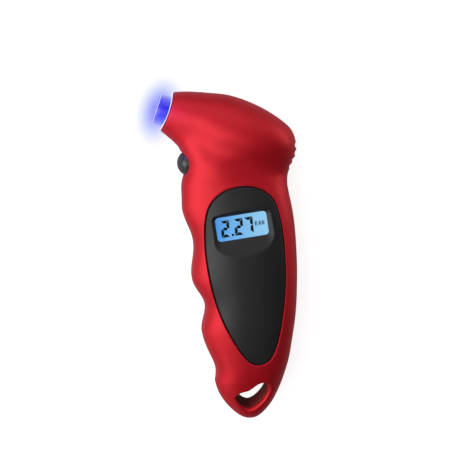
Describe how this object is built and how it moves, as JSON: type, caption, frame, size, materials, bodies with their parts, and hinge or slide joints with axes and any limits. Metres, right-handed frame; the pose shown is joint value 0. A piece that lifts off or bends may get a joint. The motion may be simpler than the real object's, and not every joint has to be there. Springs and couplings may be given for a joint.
{
  "type": "digital tire pressure gauge",
  "caption": "Pistol-shaped digital tire pressure gauge with a lit clear nozzle, a backlit display in an egg-shaped panel, a finger-side button and a strap hole in the tail.",
  "frame": {"origin": "centre of the footprint, on the surface that the flat back rests on", "axes": "+Z out of the display, +Y up the handle towards the head, +X to the display's right, away from the nozzle"},
  "size_m": [0.0656, 0.1604, 0.0324],
  "materials": {
    "red_shell": "satin metallic red paint on moulded plastic",
    "charcoal": "fine satin grain",
    "window": "polished clear plastic",
    "lcd": "blue backlit display with dark segments",
    "guide": "clear",
    "white_plastic": "plain moulded",
    "pink_rubber": "plain",
    "board": "solder mask",
    "black_epoxy": "cured resin",
    "board_parts": "ceramic and tinned ends",
    "led": "clear lens",
    "silicone": "satin, milky",
    "dark_plastic": "plain moulded",
    "button": "satin",
    "nozzle": "clear, lit blue from behind",
    "mouth_trim": "clear, lit from behind",
    "black_rubber": "plain",
    "brass": "turned",
    "steel": "plated",
    "red_wire": "insulated wire",
    "black_wire": "insulated wire",
    "cells": "polished can"
  },
  "bodies": {
    "housing": {"front_shell": "red_shell", "rear_shell": "red_shell", "front_panel": "charcoal", "display_window": "window", "lcd_glass": "lcd", "light_guide": "guide", "lcd_holder": "white_plastic", "zebra_strip": "pink_rubber", "main_board": "board", "controller_cap": "black_epoxy", "board_parts": "board_parts", "backlight_led": "led", "pressure_sensor": "white_plastic", "air_tube": "silicone", "side_switch": "dark_plastic", "nozzle_tip": "nozzle", "valve_seal": "black_rubber", "inlet_stem": "brass", "retaining_ring": "steel", "led_board": "board", "nozzle_leds": "led", "led_wires": "red_wire", "mouth_ring": "mouth_trim", "button_cells": "cells", "contact_spring": "steel", "contact_plate": "steel", "battery_wires": "black_wire", "shell_screws": "steel", "board_screws": "steel"},
    "button": {"power_button": "button"},
    "plunger": {"switch_plunger": "white_plastic"},
    "cover": {"battery_cover": "charcoal", "cover_screw": "steel"}
  },
  "joints": [
    {"name": "button_press", "type": "slide", "parent": "housing", "child": "button", "axis": [1, 0, 0], "range_m": [0, 0.0008], "stiffness_N_per_m": 1500, "springref_m": -0.0005},
    {"name": "plunger_press", "type": "slide", "parent": "housing", "child": "plunger", "axis": [1, 0, 0], "range_m": [0, 0.0008]},
    {"name": "cover_lift", "type": "slide", "parent": "housing", "child": "cover", "axis": [0, 0, -1], "range_m": [0, 0.018]}
  ],
  "couplings": [
    {"joint": "plunger_press", "follows": "button_press", "ratio": 1}
  ]
}
